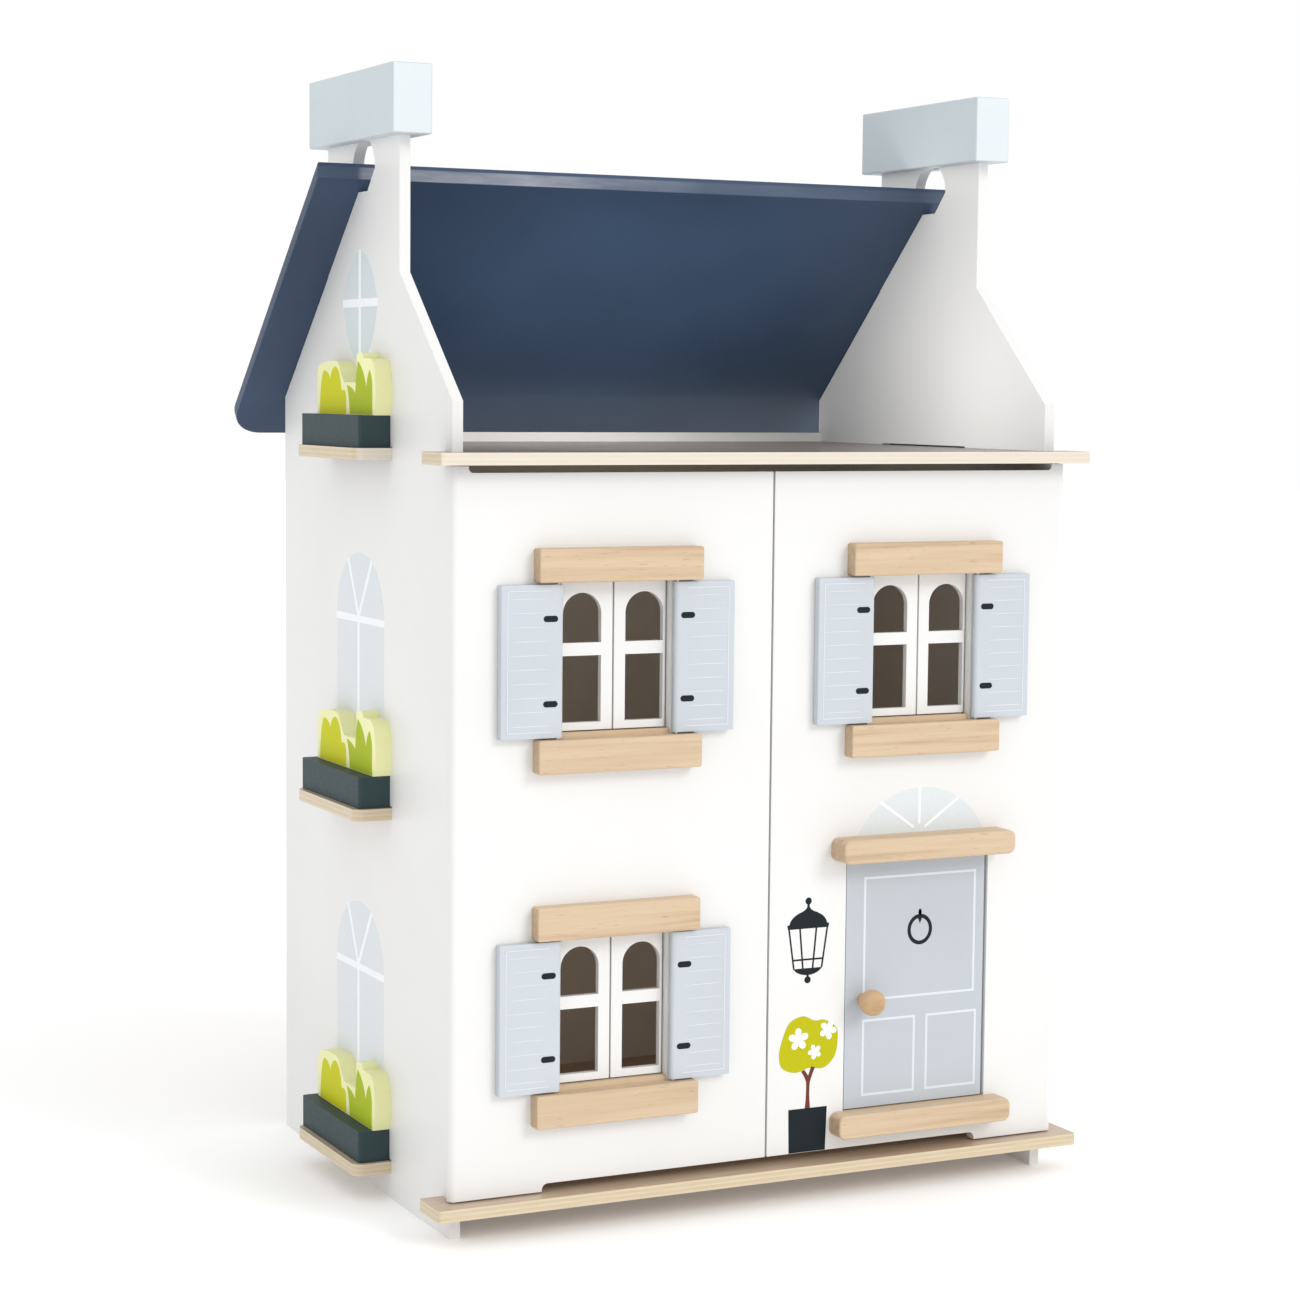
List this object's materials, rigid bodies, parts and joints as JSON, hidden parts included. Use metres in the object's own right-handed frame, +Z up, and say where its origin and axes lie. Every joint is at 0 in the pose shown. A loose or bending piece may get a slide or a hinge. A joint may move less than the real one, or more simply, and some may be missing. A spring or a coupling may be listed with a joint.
{
  "type": "wooden dollhouse",
  "caption": "Tall wooden dollhouse with hinged front panels, opening door, windows and shutters, side window boxes and a slide-off roof board.",
  "frame": {"origin": "on the ground at the middle of the object's box, to within 2 mm: midway between the gables and midway along them", "axes": "+Z up, +X to the right of someone facing the front, +Y towards the back"},
  "size_m": [0.491, 0.3695, 0.72],
  "materials": {
    "white_paint": "satin white paint on plywood, smooth",
    "shutter_paint": "satin pale blue paint with fine white printed slats",
    "door_paint": "satin grey blue paint with white printed panels",
    "cap_paint": "satin pale blue paint, smooth",
    "roof_paint": "satin slate blue paint on plywood",
    "box_paint": "satin dark slate paint",
    "plant_paint": "satin yellow green paint with printed leaves",
    "floor_ply": "clear lacquered light plywood, layered edges",
    "beech": "clear lacquered solid wood, straight grain",
    "hardboard": "white coated fibreboard",
    "steel": "bright drawn steel"
  },
  "bodies": {
    "house": {"attic_floor": "floor_ply", "back_panel": "hardboard", "back_panel_screws": "steel", "base_board": "floor_ply", "front_panel_pins": "steel", "left_chimney_cap": "cap_paint", "left_gable": "white_paint", "left_lower_plants": "plant_paint", "left_lower_window_box": "box_paint", "left_middle_plants": "plant_paint", "left_middle_window_box": "box_paint", "left_upper_plants": "plant_paint", "left_upper_window_box": "box_paint", "middle_floor": "floor_ply", "right_chimney_cap": "cap_paint", "right_gable": "white_paint", "right_lower_plants": "plant_paint", "right_lower_window_box": "box_paint", "right_middle_plants": "plant_paint", "right_middle_window_box": "box_paint", "right_upper_plants": "plant_paint", "right_upper_window_box": "box_paint"},
    "upper_left_window_left_shutter": {"upper_left_window_left_shutter": "shutter_paint"},
    "upper_left_window_left_casement": {"upper_left_window_left_casement": "white_paint"},
    "upper_left_window_right_shutter": {"upper_left_window_right_shutter": "shutter_paint"},
    "upper_left_window_right_casement": {"upper_left_window_right_casement": "white_paint"},
    "lower_left_window_left_shutter": {"lower_left_window_left_shutter": "shutter_paint"},
    "lower_left_window_left_casement": {"lower_left_window_left_casement": "white_paint"},
    "lower_left_window_right_shutter": {"lower_left_window_right_shutter": "shutter_paint"},
    "lower_left_window_right_casement": {"lower_left_window_right_casement": "white_paint"},
    "upper_right_window_left_shutter": {"upper_right_window_left_shutter": "shutter_paint"},
    "upper_right_window_left_casement": {"upper_right_window_left_casement": "white_paint"},
    "upper_right_window_right_shutter": {"upper_right_window_right_shutter": "shutter_paint"},
    "upper_right_window_right_casement": {"upper_right_window_right_casement": "white_paint"},
    "left_front": {"left_front_panel": "white_paint", "upper_left_window_lintel": "beech", "upper_left_window_sill": "beech", "upper_left_window_pins": "steel", "lower_left_window_lintel": "beech", "lower_left_window_sill": "beech", "lower_left_window_pins": "steel"},
    "right_front": {"right_front_panel": "white_paint", "door_lintel": "beech", "door_threshold": "beech", "door_pins": "steel", "upper_right_window_lintel": "beech", "upper_right_window_sill": "beech", "upper_right_window_pins": "steel"},
    "front_door": {"house_door": "door_paint", "door_knob": "beech", "door_knob_screw": "steel"},
    "roof": {"roof_board": "roof_paint"}
  },
  "joints": [
    {"name": "upper_left_window_left_shutter_hinge", "type": "hinge", "parent": "left_front", "child": "upper_left_window_left_shutter", "pos_m": [-0.1498, -0.1649, 0.3556], "axis": [0, 0, 1], "range_deg": [0, 180]},
    {"name": "upper_left_window_left_casement_hinge", "type": "hinge", "parent": "left_front", "child": "upper_left_window_left_casement", "pos_m": [-0.1438, -0.15565, 0.3572], "axis": [0, 0, 1], "range_deg": [0, 90]},
    {"name": "upper_left_window_right_shutter_hinge", "type": "hinge", "parent": "left_front", "child": "upper_left_window_right_shutter", "pos_m": [-0.0688, -0.1649, 0.3556], "axis": [0, 0, -1], "range_deg": [0, 180]},
    {"name": "upper_left_window_right_casement_hinge", "type": "hinge", "parent": "left_front", "child": "upper_left_window_right_casement", "pos_m": [-0.0748, -0.15565, 0.3572], "axis": [0, 0, -1], "range_deg": [0, 90]},
    {"name": "lower_left_window_left_shutter_hinge", "type": "hinge", "parent": "left_front", "child": "lower_left_window_left_shutter", "pos_m": [-0.1498, -0.1649, 0.136], "axis": [0, 0, 1], "range_deg": [0, 180]},
    {"name": "lower_left_window_left_casement_hinge", "type": "hinge", "parent": "left_front", "child": "lower_left_window_left_casement", "pos_m": [-0.1438, -0.15565, 0.1376], "axis": [0, 0, 1], "range_deg": [0, 90]},
    {"name": "lower_left_window_right_shutter_hinge", "type": "hinge", "parent": "left_front", "child": "lower_left_window_right_shutter", "pos_m": [-0.0688, -0.1649, 0.136], "axis": [0, 0, -1], "range_deg": [0, 180]},
    {"name": "lower_left_window_right_casement_hinge", "type": "hinge", "parent": "left_front", "child": "lower_left_window_right_casement", "pos_m": [-0.0748, -0.15565, 0.1376], "axis": [0, 0, -1], "range_deg": [0, 90]},
    {"name": "upper_right_window_left_shutter_hinge", "type": "hinge", "parent": "right_front", "child": "upper_right_window_left_shutter", "pos_m": [0.0688, -0.1649, 0.3556], "axis": [0, 0, 1], "range_deg": [0, 180]},
    {"name": "upper_right_window_left_casement_hinge", "type": "hinge", "parent": "right_front", "child": "upper_right_window_left_casement", "pos_m": [0.0748, -0.15565, 0.3572], "axis": [0, 0, 1], "range_deg": [0, 90]},
    {"name": "upper_right_window_right_shutter_hinge", "type": "hinge", "parent": "right_front", "child": "upper_right_window_right_shutter", "pos_m": [0.1498, -0.1649, 0.3556], "axis": [0, 0, -1], "range_deg": [0, 180]},
    {"name": "upper_right_window_right_casement_hinge", "type": "hinge", "parent": "right_front", "child": "upper_right_window_right_casement", "pos_m": [0.1438, -0.15565, 0.3572], "axis": [0, 0, -1], "range_deg": [0, 90]},
    {"name": "left_front_hinge", "type": "hinge", "parent": "house", "child": "left_front", "pos_m": [-0.21425, -0.15765, 0.25], "axis": [0, 0, -1], "range_deg": [0, 180]},
    {"name": "right_front_hinge", "type": "hinge", "parent": "house", "child": "right_front", "pos_m": [0.21425, -0.15765, 0.25], "axis": [0, 0, 1], "range_deg": [0, 180]},
    {"name": "house_door_hinge", "type": "hinge", "parent": "right_front", "child": "front_door", "pos_m": [0.15945, -0.15765, 0.137], "axis": [0, 0, -1], "range_deg": [0, 90]},
    {"name": "roof_slide", "type": "slide", "parent": "house", "child": "roof", "axis": [0, 0.7414, -0.671], "range_m": [0, 0.12]}
  ]
}
